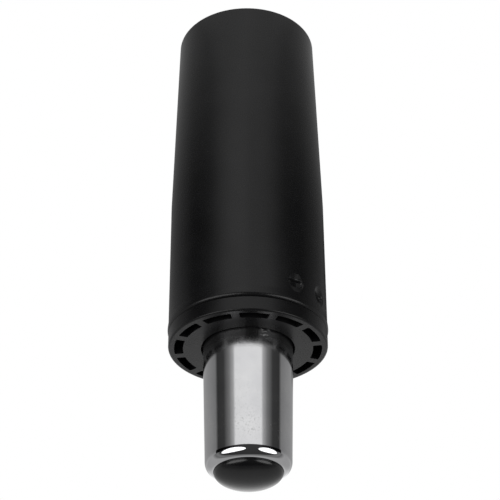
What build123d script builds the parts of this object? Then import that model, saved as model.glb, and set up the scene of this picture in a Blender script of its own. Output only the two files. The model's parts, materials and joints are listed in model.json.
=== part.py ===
from build123d import *
import math
import os

# Chair gas lift cylinder, shown compressed.
# Millimetres, +Z up the lift, origin at the centre of the column's bottom rim.

# Fits shared by every piece
fit_gap = 0.05              # radial, a piece seated in its bore
run_gap = 0.06              # radial, a piece that slides or turns
face_gap = 0.05             # axial, faces that turn past each other
overrun = 1.0               # how far a cutting shape passes the surface it cuts

# Standard tapers at both ends: 1 degree 26 minutes 16 seconds each side
taper_half_angle = 1.4378
taper_slope = math.tan(math.radians(taper_half_angle))

# Column: the painted outer tube
column_r = 25.0
column_wall = 1.9
column_length = 115.0
base_taper_length = 67.5
base_rim_rounding = 0.4
rim_rounding = 1.3
rim_flare = 0.23
rim_flare_length = 2.7

# Stakes: oblong punch marks that lock the bush in the column, two close together on each side
stake_drop = 7.4            # below the column's rim
stake_angles = (27.5, 53.5, 207.5, 233.5)
stake_dish_r = 3.3
stake_dish_floor_r = 1.2
stake_dish_depth = 0.5
stake_pit_length = 5.9      # along the column's girth
stake_pit_height = 2.8
stake_pit_depth = 1.5
stake_pit_draft = 28.0      # slope of the pit's sides, from the punch's stroke
stake_rounding = 0.4
stake_bulge_r = 2.6
stake_bulge_nose_r = 1.3
stake_bulge_depth = 1.4     # how far the bulge stands into the column's bore

# Base plate: a pressed cup welded into the bottom of the column
plate_recess = 6.0
plate_thickness = 3.0
plate_skirt_wall = 2.0
plate_skirt_inset = 1.2
plate_bend = 1.6

# Guide bush: moulded, its flange closes the column
bush_flange_inset = 0.05    # the flange's edge stands just inside the column's
bush_flange_thickness = 4.85
bush_flange_rounding = 0.6
bush_under_rounding = 0.2
bush_seam = 0.1             # shadow gap between the rim and the flange
bush_seat_width = 0.65      # the strip of the flange that rests on the rim
bush_core_depth = 2.8       # radial, from the column's bore in to the sleeve
bush_land_length = 7.0
bush_land_inset = 1.0
bush_tail_length = 8.5
bush_thrust_ring = 2.0
bush_mouth_width = 0.64
bush_mouth_depth = 1.1
bush_lead = 0.8
stake_room = 0.1

# Slots: core-outs seen in the flange's face, one web between each pair
slot_count = 12
slot_turn = -5.2
slot_corner = 0.3
web_width = 2.5

# Thrust bearing at the foot of the rod
bearing_washer_r = 12.6
bearing_washer_thickness = 2.0
bearing_groove_depth = 0.6
bearing_rim = 4.0           # from the balls' pitch circle out to the washer's edge
ball_r = 2.38
ball_groove_gap = 0.12      # how much wider the groove's arc is than the ball
ball_gap = 1.0              # least gap between two balls
cage_inset = 0.6            # inside the washers' edge
cage_bore_gap = 1.2         # round the rod's foot
cage_thickness = 2.0

# Piston rod
rod_r = 5.0
rod_foot_r = 4.0
rod_foot_drop = 3.0         # how far the rod's end stands below its washer
rod_head_r = 3.0
rod_chamfer = 0.5
rod_centre_r = 1.3          # centre drilling in the rod's end
rod_centre_depth = 1.5
rod_head_spare = 0.6        # the rod's end above its nut
rod_end_gap = 0.7           # to the valve body when compressed

# Clip and washer under the base plate
rod_washer_r = 9.0
rod_washer_thickness = 1.2
clip_thickness = 1.2
clip_outer_r = 7.2
clip_relief_r = 5.2
clip_groove_depth = 0.8
clip_mouth = 5.6
clip_lug_width = 2.6
clip_lug_count = 3

# Bump stop round the rod
bump_inset = 3.0            # inside the pressure tube's outside
bump_waist_depth = 1.6
bump_top_inset = 0.8
bump_height = 11.0
bump_waist_share = 0.5
bump_rounding = 0.9
bump_gap = 0.34

# Pressure tube: the chromed cylinder with the seat taper
cylinder_r = 14.0
cylinder_wall = 2.5
cylinder_length = 133.3
seat_taper_length = 36.1
lip_reach = 0.95            # how far the rolled lip stands into the bore
lip_land = 0.144            # left flat on the lip, inside its shoulder's rounding
lip_thickness = 1.7
crimp_reach = 3.5
crimp_thickness = 1.8
crimp_rounding = 2.0

# Rod guide and seals at the bottom of the pressure tube
rod_guide_length = 8.2
rod_guide_chamfer = 0.5
rod_seal_length = 5.0
rod_seal_clearance = 0.03
rod_seal_lip = 1.8          # radial, the seal's lip round the rod
rod_seal_heel = 1.9         # radial, the seal's outer wall
rod_seal_groove_depth = 2.2
spacer_thickness = 3.0
spacer_spigot = 2.0
spacer_gap = 0.4            # round the rod
ring_section_r = 0.8        # O-rings that seal against the pressure tube
ring_squeeze_gap = 0.02

# Inner tube
gas_passage = 1.1           # radial, between the inner tube and the pressure tube
inner_tube_wall = 1.0

# Piston on the rod's head
piston_length = 8.0
piston_groove_height = 2.6
piston_groove_depth = 1.7
piston_seal_gap = 0.03
piston_seal_rounding = 0.4
piston_chamfer = 0.6
piston_washer_r = 6.5
piston_washer_thickness = 1.2
piston_nut_flats = 10.0
piston_nut_height = 4.0
piston_nut_chamfer = 0.4

# Valve at the top of the pressure tube
valve_length = 15.8
valve_spigot = 1.5
valve_ring_inset = 3.2
valve_waist_depth = 2.5
valve_waist_inset = 5.4
valve_chamber_gap = 0.4     # round the pin's head
valve_chamber_depth = 6.0
valve_port_r = 0.8
valve_port_count = 4
valve_port_rise = 1.6       # above the chamber
valve_pocket_depth = 5.3
pin_seal_section_r = 0.9
pin_guide_chamfer = 0.4
snap_ring_thickness = 1.2
snap_ring_depth = 0.6       # how deep the ring stands in the pressure tube's wall
snap_ring_width = 1.4
snap_ring_mouth = 8.0

# Release button and its pin
button_gap = 0.07
button_dome_height = 4.4
button_wall = 1.7
button_flange_thickness = 1.3
button_flange_gap = 0.08
button_lip_gap = 0.1        # play under the lip
button_boss_wall = 1.4
button_boss_drop = 2.0      # the boss below the flange
button_travel = 3.0
button_reserve = 1.1        # left under the flange when fully pressed
pin_r = 2.0
pin_press_gap = 0.02
pin_head_r = 3.0
pin_head_length = 1.5
pin_grip = 5.0              # how deep the pin stands in the button's boss

# Heights worked out from the sizes above, from the bottom rim up
plate_top = plate_recess + plate_thickness
lower_washer_top = plate_top + bearing_washer_thickness
ball_height = lower_washer_top - bearing_groove_depth + face_gap + ball_r
upper_washer_base = ball_height + ball_r + face_gap - bearing_groove_depth
upper_washer_top = upper_washer_base + bearing_washer_thickness
rod_washer_top = plate_recess - face_gap
rod_washer_base = rod_washer_top - rod_washer_thickness
clip_top = rod_washer_base - face_gap
clip_base = clip_top - clip_thickness
rod_base = rod_washer_base - rod_foot_drop
bump_top = upper_washer_top + bump_height
cylinder_base = bump_top + bump_gap
cylinder_top = cylinder_base + cylinder_length
seat_taper_base = cylinder_top - seat_taper_length
crimp_top = cylinder_base + crimp_thickness
lip_base = cylinder_top - lip_thickness

# Heights inside the pressure tube
rod_guide_top = crimp_top + rod_guide_length
rod_seal_top = rod_guide_top + rod_seal_length
spacer_top = rod_seal_top + spacer_thickness
button_flange_top = lip_base - button_lip_gap
button_flange_base = button_flange_top - button_flange_thickness
snap_groove_top = button_flange_base - button_travel - button_reserve
snap_ring_base = snap_groove_top - face_gap - snap_ring_thickness
valve_top = snap_ring_base - face_gap
valve_base = valve_top - valve_length
rod_top = valve_base - valve_spigot - rod_end_gap
piston_nut_top = rod_top - rod_head_spare
piston_nut_base = piston_nut_top - piston_nut_height
piston_top = piston_nut_base - piston_washer_thickness
piston_base = piston_top - piston_length

# Heights of the bush and the stakes
flange_base = column_length
flange_top = flange_base + bush_flange_thickness
stake_height = column_length - stake_drop
thrust_ring_base = stake_height + stake_bulge_r + stake_room
upper_land_top = stake_height - stake_bulge_r - stake_room
lower_land_base = base_taper_length + bush_land_inset
lower_land_top = lower_land_base + bush_land_length
bush_base = lower_land_base - bush_tail_length

# Radii of the column, the bush and the bearing
bore_r = column_r - column_wall
base_r = column_r - base_taper_length * taper_slope
bush_flange_r = column_r - bush_flange_inset
bush_sleeve_r = bore_r - bush_core_depth
bush_bore_r = cylinder_r + run_gap
bush_plug_r = bore_r - fit_gap
rod_foot_hole_r = rod_foot_r + run_gap
bearing_pitch_r = bearing_washer_r - bearing_rim
bearing_groove_r = ball_r + ball_groove_gap
ball_count = int(math.pi / math.asin((ball_r + ball_gap / 2) / bearing_pitch_r))
cage_outer_r = bearing_washer_r - cage_inset
cage_inner_r = rod_foot_r + cage_bore_gap

# Radii of the pressure tube and of the pieces that sit in it
cylinder_bore_r = cylinder_r - cylinder_wall
cylinder_fit_r = cylinder_bore_r - fit_gap
seat_taper_top_r = cylinder_r - seat_taper_length * taper_slope
lip_bore_r = cylinder_bore_r - lip_reach
shoulder_rounding = seat_taper_top_r - lip_bore_r - lip_land
crimp_bore_r = cylinder_bore_r - crimp_reach
bump_r = cylinder_r - bump_inset
bump_waist_r = bump_r - bump_waist_depth
bump_top_r = bump_r - bump_top_inset
rod_seal_groove_inner_r = rod_r + rod_seal_lip
rod_seal_groove_outer_r = cylinder_bore_r - rod_seal_heel
spacer_bore_r = rod_r + spacer_gap
inner_tube_r = cylinder_bore_r - gas_passage
inner_bore_r = inner_tube_r - inner_tube_wall
spigot_r = inner_bore_r - fit_gap
piston_r = inner_bore_r - run_gap
pin_hole_r = pin_r + run_gap
valve_waist_r = cylinder_bore_r - valve_waist_depth
valve_chamber_r = pin_head_r + valve_chamber_gap
valve_pocket_r = pin_hole_r + 2 * (pin_seal_section_r + ring_squeeze_gap)
button_boss_r = pin_r + button_boss_wall
ring_pitch_r = cylinder_bore_r - ring_squeeze_gap - ring_section_r
ring_groove_r = ring_pitch_r - ring_section_r - ring_squeeze_gap
ring_groove_half = ring_section_r + ring_squeeze_gap


def bore_at(height):
    """Radius of the column's bore at a height: it narrows with the base taper."""
    return bore_r - max(0, base_taper_length - height) * taper_slope


def turn(points, mode=Mode.ADD, plane=Plane.XZ, axis=Axis.Z):
    """Turn a closed half section about an axis, the lift's own unless another is given.

    A point is (radius, height), or (radius, height, rounding) where the corner is rounded.
    """
    with BuildSketch(plane) as section:
        with BuildLine():
            Polyline(*[(point[0], point[1]) for point in points], close=True)
        make_face()
        for point in points:
            if len(point) == 3:
                corner = section.vertices().sort_by_distance((point[0], point[1]))[0]
                fillet(corner, radius=point[2])
    revolve(section.sketch, axis=axis, mode=mode)


def ring_groove(height):
    """Cut the groove of an O-ring that seals against the pressure tube."""
    turn([(ring_groove_r, height - ring_groove_half),
          (cylinder_bore_r + overrun, height - ring_groove_half),
          (cylinder_bore_r + overrun, height + ring_groove_half),
          (ring_groove_r, height + ring_groove_half)], mode=Mode.SUBTRACT)


os.makedirs("parts", exist_ok=True)

# Column tube: base taper, straight shank, slightly flared and rounded rim
rim_r = column_r + rim_flare
rim_shoulder = column_length - rim_rounding
flare_base = rim_shoulder - rim_flare_length
with BuildPart() as column_tube:
    with BuildSketch(Plane.XZ) as column_section:
        with BuildLine():
            Polyline((column_r, flare_base), (column_r, base_taper_length), (base_r, 0),
                     (base_r - column_wall, 0), (bore_r, base_taper_length), (bore_r, column_length),
                     (rim_r - rim_rounding, column_length))
            RadiusArc((rim_r - rim_rounding, column_length), (rim_r, rim_shoulder), rim_rounding)
            Spline((rim_r, rim_shoulder), (column_r, flare_base), tangents=((0, -1), (0, -1)))
        make_face()
        foot_corner = column_section.vertices().sort_by_distance((base_r, 0))[0]
        fillet(foot_corner, radius=base_rim_rounding)
    revolve(axis=Axis.Z)
    for angle in stake_angles:
        outward = Vector(1, 0, 0).rotate(Axis.Z, angle)
        middle = Vector(0, 0, stake_height)
        radial_plane = Plane(origin=middle, x_dir=outward, z_dir=outward.cross(Vector(0, 0, 1)))
        radial_axis = Axis(middle, outward)
        bulge_root = column_r - column_wall / 2
        bulge_nose = bore_r - stake_bulge_depth
        turn([(bulge_root, 0), (bulge_root, stake_bulge_r), (bulge_nose, stake_bulge_nose_r, stake_rounding),
              (bulge_nose, 0)], plane=radial_plane, axis=radial_axis)
        dish_slope = (stake_dish_r - stake_dish_floor_r) / stake_dish_depth
        dish_mouth_r = stake_dish_r + overrun * dish_slope
        turn([(column_r - stake_dish_depth, 0),
              (column_r - stake_dish_depth, stake_dish_floor_r, stake_rounding),
              (column_r + overrun, dish_mouth_r),
              (column_r + overrun, 0)], mode=Mode.SUBTRACT, plane=radial_plane, axis=radial_axis)
        with BuildSketch(Plane(origin=middle + outward * column_r, x_dir=outward.cross(Vector(0, 0, 1)),
                               z_dir=-outward)):
            SlotOverall(stake_pit_length, stake_pit_height)
        extrude(amount=stake_pit_depth, taper=stake_pit_draft, mode=Mode.SUBTRACT)
column_tube.part.label = "column_tube"
export_step(column_tube.part, "parts/column_tube.step")

# Base plate: a shallow cup, open downwards, its skirt following the tapered bore
with BuildPart() as base_plate:
    turn([(rod_foot_hole_r, plate_recess),
          (bore_at(plate_recess) - fit_gap - plate_skirt_wall, plate_recess, plate_bend),
          (bore_at(plate_skirt_inset) - fit_gap - plate_skirt_wall, plate_skirt_inset),
          (bore_at(plate_skirt_inset) - fit_gap, plate_skirt_inset),
          (bore_at(plate_top) - fit_gap, plate_top, plate_bend),
          (rod_foot_hole_r, plate_top)])
base_plate.part.label = "base_plate"
export_step(base_plate.part, "parts/base_plate.step")

# Guide bush: sleeve, lands and thrust ring in the column's bore, slotted flange on its rim
rib_reach = bush_plug_r - bush_sleeve_r + overrun
rib_middle_r = bush_plug_r - rib_reach / 2 + overrun / 2
web_start = slot_turn + 180 / slot_count
with BuildPart() as guide_bush:
    turn([(bush_bore_r + bush_lead, bush_base),
          (bush_sleeve_r, bush_base, bush_lead),
          (bush_sleeve_r, lower_land_base),
          (bush_plug_r, lower_land_base),
          (bush_plug_r, lower_land_top),
          (bush_sleeve_r, lower_land_top),
          (bush_sleeve_r, upper_land_top - bush_land_length),
          (bush_plug_r, upper_land_top - bush_land_length),
          (bush_plug_r, upper_land_top),
          (bush_sleeve_r, upper_land_top),
          (bush_sleeve_r, thrust_ring_base),
          (bush_plug_r, thrust_ring_base),
          (bush_plug_r, thrust_ring_base + bush_thrust_ring),
          (bush_sleeve_r, thrust_ring_base + bush_thrust_ring),
          (bush_sleeve_r, flange_base),
          (bore_r + bush_seat_width, flange_base),
          (bore_r + bush_seat_width, flange_base + bush_seam),
          (bush_flange_r, flange_base + bush_seam, bush_under_rounding),
          (bush_flange_r, flange_top, bush_flange_rounding),
          (bush_bore_r + bush_mouth_width, flange_top),
          (bush_bore_r, flange_top - bush_mouth_depth),
          (bush_bore_r, bush_base + bush_lead)])
    with BuildSketch(Plane.XY.offset(lower_land_top)):
        with PolarLocations(rib_middle_r, slot_count, start_angle=web_start):
            Rectangle(rib_reach + overrun, web_width)
        Circle(bush_plug_r, mode=Mode.INTERSECT)
    extrude(amount=flange_base - lower_land_top)
    with BuildSketch(Plane.XY.offset(flange_base)) as slots:
        Circle(bore_r)
        Circle(bush_sleeve_r, mode=Mode.SUBTRACT)
        with PolarLocations(rib_middle_r, slot_count, start_angle=web_start):
            Rectangle(rib_reach + 2 * overrun, web_width, mode=Mode.SUBTRACT)
        fillet(slots.vertices(), radius=slot_corner)
    extrude(amount=bush_flange_thickness, mode=Mode.SUBTRACT)
guide_bush.part.label = "guide_bush"
export_step(guide_bush.part, "parts/guide_bush.step")

# Thrust bearing: two grooved washers with a caged ring of balls between them
with BuildPart() as bearing_lower_washer:
    with BuildSketch(Plane.XY.offset(plate_top)):
        Circle(bearing_washer_r)
        Circle(rod_foot_hole_r, mode=Mode.SUBTRACT)
    extrude(amount=bearing_washer_thickness)
    with Locations((0, 0, lower_washer_top - bearing_groove_depth + bearing_groove_r)):
        Torus(bearing_pitch_r, bearing_groove_r, mode=Mode.SUBTRACT)
bearing_lower_washer.part.label = "bearing_lower_washer"
export_step(bearing_lower_washer.part, "parts/bearing_lower_washer.step")

with BuildPart() as bearing_upper_washer:
    with BuildSketch(Plane.XY.offset(upper_washer_base)):
        Circle(bearing_washer_r)
        Circle(rod_foot_r + fit_gap, mode=Mode.SUBTRACT)
    extrude(amount=bearing_washer_thickness)
    with Locations((0, 0, upper_washer_base + bearing_groove_depth - bearing_groove_r)):
        Torus(bearing_pitch_r, bearing_groove_r, mode=Mode.SUBTRACT)
bearing_upper_washer.part.label = "bearing_upper_washer"
export_step(bearing_upper_washer.part, "parts/bearing_upper_washer.step")

with BuildPart() as ball_cage:
    with BuildSketch(Plane.XY.offset(ball_height - cage_thickness / 2)):
        Circle(cage_outer_r)
        Circle(cage_inner_r, mode=Mode.SUBTRACT)
        with PolarLocations(bearing_pitch_r, ball_count):
            Circle(ball_r + run_gap, mode=Mode.SUBTRACT)
    extrude(amount=cage_thickness)
ball_cage.part.label = "ball_cage"
export_step(ball_cage.part, "parts/ball_cage.step")

with BuildPart() as bearing_balls:
    with Locations((0, 0, ball_height)):
        with PolarLocations(bearing_pitch_r, ball_count):
            Sphere(ball_r)
bearing_balls.part.label = "bearing_balls"
export_step(bearing_balls.part, "parts/bearing_balls.step")

# Piston rod: clip groove and stepped foot below, stepped head above
with BuildPart() as piston_rod:
    turn([(0, rod_base),
          (rod_foot_r - rod_chamfer, rod_base),
          (rod_foot_r, rod_base + rod_chamfer),
          (rod_foot_r, clip_base - face_gap),
          (rod_foot_r - clip_groove_depth, clip_base - face_gap),
          (rod_foot_r - clip_groove_depth, clip_top + face_gap),
          (rod_foot_r, clip_top + face_gap),
          (rod_foot_r, upper_washer_top),
          (rod_r, upper_washer_top),
          (rod_r, piston_base),
          (rod_head_r, piston_base),
          (rod_head_r, rod_top - rod_chamfer),
          (rod_head_r - rod_chamfer, rod_top),
          (0, rod_top)])
    turn([(0, rod_base), (rod_centre_r, rod_base), (0, rod_base + rod_centre_depth)], mode=Mode.SUBTRACT)
piston_rod.part.label = "piston_rod"
export_step(piston_rod.part, "parts/piston_rod.step")

# Washer and clip that hold the rod down on the base plate
with BuildPart() as rod_washer:
    with BuildSketch(Plane.XY.offset(rod_washer_base)):
        Circle(rod_washer_r)
        Circle(rod_foot_r + fit_gap, mode=Mode.SUBTRACT)
    extrude(amount=rod_washer_thickness)
rod_washer.part.label = "rod_washer"
export_step(rod_washer.part, "parts/rod_washer.step")

clip_bore_r = rod_foot_r - clip_groove_depth + fit_gap
clip_lug_length = clip_outer_r - clip_bore_r
with BuildPart() as retaining_clip:
    with BuildSketch(Plane.XY.offset(clip_base)):
        Circle(clip_outer_r)
        Circle(clip_relief_r, mode=Mode.SUBTRACT)
        with PolarLocations(clip_relief_r, clip_lug_count, start_angle=90):
            Rectangle(clip_lug_length, clip_lug_width)
        Circle(clip_outer_r, mode=Mode.INTERSECT)
        Circle(clip_bore_r, mode=Mode.SUBTRACT)
        with Locations((0, -clip_outer_r)):
            Rectangle(clip_mouth, 2 * clip_outer_r, mode=Mode.SUBTRACT)
    extrude(amount=clip_thickness)
retaining_clip.part.label = "retaining_clip"
export_step(retaining_clip.part, "parts/retaining_clip.step")

# Bump stop: waisted rubber ring that the pressure tube lands on
bump_waist_height = upper_washer_top + bump_height * bump_waist_share
with BuildPart() as bump_stop:
    turn([(rod_r + run_gap, upper_washer_top),
          (bump_r, upper_washer_top, bump_rounding),
          (bump_waist_r, bump_waist_height, bump_rounding),
          (bump_top_r, bump_top, bump_rounding),
          (rod_r + run_gap, bump_top)])
bump_stop.part.label = "bump_stop"
export_step(bump_stop.part, "parts/bump_stop.step")

# Pressure tube: rolled in at both ends, tapered outside towards the seat
with BuildPart() as pressure_tube:
    turn([(crimp_bore_r, cylinder_base),
          (cylinder_r, cylinder_base, crimp_rounding),
          (cylinder_r, seat_taper_base),
          (seat_taper_top_r, cylinder_top, shoulder_rounding),
          (lip_bore_r, cylinder_top),
          (lip_bore_r, lip_base),
          (cylinder_bore_r, lip_base),
          (cylinder_bore_r, snap_groove_top),
          (cylinder_bore_r + snap_ring_depth, snap_groove_top),
          (cylinder_bore_r + snap_ring_depth, valve_top),
          (cylinder_bore_r, valve_top),
          (cylinder_bore_r, crimp_top),
          (crimp_bore_r, crimp_top)])
pressure_tube.part.label = "pressure_tube"
export_step(pressure_tube.part, "parts/pressure_tube.step")

# Rod guide: turned aluminium, on the rolled bottom edge
guide_ring_height = crimp_top + rod_guide_length / 2
with BuildPart() as rod_guide:
    turn([(rod_r + run_gap, crimp_top),
          (cylinder_fit_r - rod_guide_chamfer, crimp_top),
          (cylinder_fit_r, crimp_top + rod_guide_chamfer),
          (cylinder_fit_r, rod_guide_top),
          (rod_r + run_gap, rod_guide_top)])
    ring_groove(guide_ring_height)
rod_guide.part.label = "rod_guide"
export_step(rod_guide.part, "parts/rod_guide.step")

with BuildPart() as guide_seal:
    with Locations((0, 0, guide_ring_height)):
        Torus(ring_pitch_r, ring_section_r)
guide_seal.part.label = "guide_seal"
export_step(guide_seal.part, "parts/guide_seal.step")

# Rod seal: a lip seal, its groove facing the gas
with BuildPart() as rod_seal:
    turn([(rod_r + rod_seal_clearance, rod_guide_top),
          (cylinder_fit_r, rod_guide_top),
          (cylinder_fit_r, rod_seal_top),
          (rod_seal_groove_outer_r, rod_seal_top),
          ((rod_seal_groove_inner_r + rod_seal_groove_outer_r) / 2, rod_seal_top - rod_seal_groove_depth),
          (rod_seal_groove_inner_r, rod_seal_top),
          (rod_r + rod_seal_clearance, rod_seal_top)])
rod_seal.part.label = "rod_seal"
export_step(rod_seal.part, "parts/rod_seal.step")

# Spacer that carries the inner tube
with BuildPart() as seal_spacer:
    turn([(spacer_bore_r, rod_seal_top),
          (cylinder_fit_r, rod_seal_top),
          (cylinder_fit_r, spacer_top),
          (spigot_r, spacer_top),
          (spigot_r, spacer_top + spacer_spigot),
          (spacer_bore_r, spacer_top + spacer_spigot)])
seal_spacer.part.label = "seal_spacer"
export_step(seal_spacer.part, "parts/seal_spacer.step")

with BuildPart() as inner_tube:
    with BuildSketch(Plane.XY.offset(spacer_top)):
        Circle(inner_tube_r)
        Circle(inner_bore_r, mode=Mode.SUBTRACT)
    extrude(amount=valve_base - spacer_top)
inner_tube.part.label = "inner_tube"
export_step(inner_tube.part, "parts/inner_tube.step")

# Piston, its seal, and the washer and nut that hold it on the rod
piston_middle = (piston_base + piston_top) / 2
piston_groove_low = piston_middle - piston_groove_height / 2
piston_groove_high = piston_middle + piston_groove_height / 2
piston_groove_r = piston_r - piston_groove_depth
with BuildPart() as piston:
    turn([(rod_head_r + fit_gap, piston_base),
          (piston_r - piston_chamfer, piston_base),
          (piston_r, piston_base + piston_chamfer),
          (piston_r, piston_groove_low),
          (piston_groove_r, piston_groove_low),
          (piston_groove_r, piston_groove_high),
          (piston_r, piston_groove_high),
          (piston_r, piston_top - piston_chamfer),
          (piston_r - piston_chamfer, piston_top),
          (rod_head_r + fit_gap, piston_top)])
piston.part.label = "piston"
export_step(piston.part, "parts/piston.step")

with BuildPart() as piston_seal:
    turn([(piston_groove_r + fit_gap, piston_groove_low + face_gap),
          (inner_bore_r - piston_seal_gap, piston_groove_low + face_gap, piston_seal_rounding),
          (inner_bore_r - piston_seal_gap, piston_groove_high - face_gap, piston_seal_rounding),
          (piston_groove_r + fit_gap, piston_groove_high - face_gap)])
piston_seal.part.label = "piston_seal"
export_step(piston_seal.part, "parts/piston_seal.step")

with BuildPart() as piston_washer:
    with BuildSketch(Plane.XY.offset(piston_top)):
        Circle(piston_washer_r)
        Circle(rod_head_r + fit_gap, mode=Mode.SUBTRACT)
    extrude(amount=piston_washer_thickness)
piston_washer.part.label = "piston_washer"
export_step(piston_washer.part, "parts/piston_washer.step")

with BuildPart() as piston_nut:
    with BuildSketch(Plane.XY.offset(piston_nut_base)):
        RegularPolygon(piston_nut_flats / 2, 6, major_radius=False)
        Circle(rod_head_r + fit_gap, mode=Mode.SUBTRACT)
    extrude(amount=piston_nut_height)
    chamfer(piston_nut.faces().sort_by(Axis.Z)[-1].outer_wire().edges(), length=piston_nut_chamfer)
piston_nut.part.label = "piston_nut"
export_step(piston_nut.part, "parts/piston_nut.step")

# Valve body: spigot in the inner tube, two ring grooves, gas ports in its waist
chamber_top = valve_base - valve_spigot + valve_chamber_depth
port_height = chamber_top + valve_port_rise
pocket_base = valve_top - valve_pocket_depth
lower_ring_height = valve_base + valve_ring_inset
upper_ring_height = valve_top - valve_ring_inset
with BuildPart() as valve_body:
    turn([(valve_chamber_r, valve_base - valve_spigot),
          (spigot_r, valve_base - valve_spigot),
          (spigot_r, valve_base),
          (cylinder_fit_r, valve_base),
          (cylinder_fit_r, valve_base + valve_waist_inset),
          (valve_waist_r, valve_base + valve_waist_inset),
          (valve_waist_r, valve_top - valve_waist_inset),
          (cylinder_fit_r, valve_top - valve_waist_inset),
          (cylinder_fit_r, valve_top),
          (valve_pocket_r, valve_top),
          (valve_pocket_r, pocket_base),
          (pin_hole_r, pocket_base),
          (pin_hole_r, chamber_top),
          (valve_chamber_r, chamber_top)])
    ring_groove(lower_ring_height)
    ring_groove(upper_ring_height)
    for index in range(valve_port_count):
        outward = Vector(1, 0, 0).rotate(Axis.Z, 360 / valve_port_count * index)
        with BuildSketch(Plane(origin=(0, 0, port_height), z_dir=outward)):
            Circle(valve_port_r)
        extrude(amount=valve_waist_r + overrun, mode=Mode.SUBTRACT)
valve_body.part.label = "valve_body"
export_step(valve_body.part, "parts/valve_body.step")

with BuildPart() as valve_seal_lower:
    with Locations((0, 0, lower_ring_height)):
        Torus(ring_pitch_r, ring_section_r)
valve_seal_lower.part.label = "valve_seal_lower"
export_step(valve_seal_lower.part, "parts/valve_seal_lower.step")

with BuildPart() as valve_seal_upper:
    with Locations((0, 0, upper_ring_height)):
        Torus(ring_pitch_r, ring_section_r)
valve_seal_upper.part.label = "valve_seal_upper"
export_step(valve_seal_upper.part, "parts/valve_seal_upper.step")

# Pin seal and the bush that keeps it in the valve body's pocket
pin_seal_top = pocket_base + 2 * pin_seal_section_r
with BuildPart() as pin_seal:
    with Locations((0, 0, pocket_base + pin_seal_section_r)):
        Torus(pin_hole_r + pin_seal_section_r, pin_seal_section_r)
pin_seal.part.label = "pin_seal"
export_step(pin_seal.part, "parts/pin_seal.step")

with BuildPart() as pin_guide:
    turn([(pin_hole_r, pin_seal_top + face_gap),
          (valve_pocket_r - fit_gap, pin_seal_top + face_gap),
          (valve_pocket_r - fit_gap, valve_top),
          (pin_hole_r + pin_guide_chamfer, valve_top),
          (pin_hole_r, valve_top - pin_guide_chamfer)])
pin_guide.part.label = "pin_guide"
export_step(pin_guide.part, "parts/pin_guide.step")

# Snap ring that stops the valve body from being blown out
snap_ring_outer_r = cylinder_bore_r + snap_ring_depth - fit_gap
with BuildPart() as valve_snap_ring:
    with BuildSketch(Plane.XY.offset(snap_ring_base)):
        Circle(snap_ring_outer_r)
        Circle(snap_ring_outer_r - snap_ring_width, mode=Mode.SUBTRACT)
        with Locations((0, -snap_ring_outer_r)):
            Rectangle(snap_ring_mouth, snap_ring_outer_r, mode=Mode.SUBTRACT)
    extrude(amount=snap_ring_thickness)
valve_snap_ring.part.label = "valve_snap_ring"
export_step(valve_snap_ring.part, "parts/valve_snap_ring.step")

# Release button: a domed cap caught under the lip, hollow round the boss that holds the pin
button_r = lip_bore_r - button_gap
button_flange_r = cylinder_bore_r - button_flange_gap
button_inner_r = button_r - button_wall
button_boss_base = button_flange_base - button_boss_drop
quarter_ellipse_share = 0.5523      # of the radius: where a cubic's handles lie on a quarter ellipse
pin_top = button_boss_base + pin_grip


def dome_height(radius):
    """Height of the dome's surface at a radius: half an ellipse over the lip."""
    return cylinder_top + button_dome_height * math.sqrt(1 - (radius / button_r) ** 2)


with BuildPart() as release_button:
    with BuildSketch(Plane.XZ):
        with BuildLine():
            Bezier((button_r, cylinder_top),
                   (button_r, cylinder_top + button_dome_height * quarter_ellipse_share),
                   (button_r * quarter_ellipse_share, cylinder_top + button_dome_height),
                   (0, cylinder_top + button_dome_height))
            Polyline((0, cylinder_top + button_dome_height), (0, pin_top + pin_press_gap),
                     (pin_r + pin_press_gap, pin_top + pin_press_gap),
                     (pin_r + pin_press_gap, button_boss_base), (button_boss_r, button_boss_base),
                     (button_boss_r, dome_height(button_boss_r) - button_wall),
                     (button_inner_r, dome_height(button_inner_r) - button_wall),
                     (button_inner_r, button_flange_base), (button_flange_r, button_flange_base),
                     (button_flange_r, button_flange_top), (button_r, button_flange_top),
                     (button_r, cylinder_top))
        make_face()
    revolve(axis=Axis.Z)
release_button.part.label = "release_button"
export_step(release_button.part, "parts/release_button.step")

# Valve pin: pushed down by the button, its head closes the chamber
with BuildPart() as valve_pin:
    turn([(0, chamber_top - face_gap - pin_head_length),
          (pin_head_r, chamber_top - face_gap - pin_head_length),
          (pin_head_r, chamber_top - face_gap),
          (pin_r, chamber_top - face_gap),
          (pin_r, pin_top),
          (0, pin_top)])
valve_pin.part.label = "valve_pin"
export_step(valve_pin.part, "parts/valve_pin.step")
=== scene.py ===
# Chair gas lift cylinder: the finished pieces round a fixed frame.
# Metres, +Z up the lift, origin at the centre of the column's bottom rim.

import json
import math

import bmesh
import bpy
from bpy.props import FloatProperty, FloatVectorProperty, IntProperty, PointerProperty
from bpy.types import Operator, Panel, PropertyGroup
from mathutils import Matrix, Vector
from mathutils.geometry import interpolate_bezier


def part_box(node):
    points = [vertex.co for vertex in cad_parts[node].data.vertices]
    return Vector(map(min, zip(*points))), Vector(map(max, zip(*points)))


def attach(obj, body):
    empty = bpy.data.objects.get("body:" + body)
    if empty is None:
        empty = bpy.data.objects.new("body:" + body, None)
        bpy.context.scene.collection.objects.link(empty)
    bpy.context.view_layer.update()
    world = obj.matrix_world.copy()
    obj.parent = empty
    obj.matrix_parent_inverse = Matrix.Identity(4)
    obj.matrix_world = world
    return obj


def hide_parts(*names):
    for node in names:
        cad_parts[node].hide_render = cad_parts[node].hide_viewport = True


bl_info = {
    "name": "Chair Gas Lift",
    "version": (1, 0, 0),
    "blender": (4, 5, 0),
    "location": "3D View > Sidebar > Gas Lift",
    "description": "Builds the finished pieces of a chair gas lift round its frame",
    "category": "Object",
}

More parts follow.
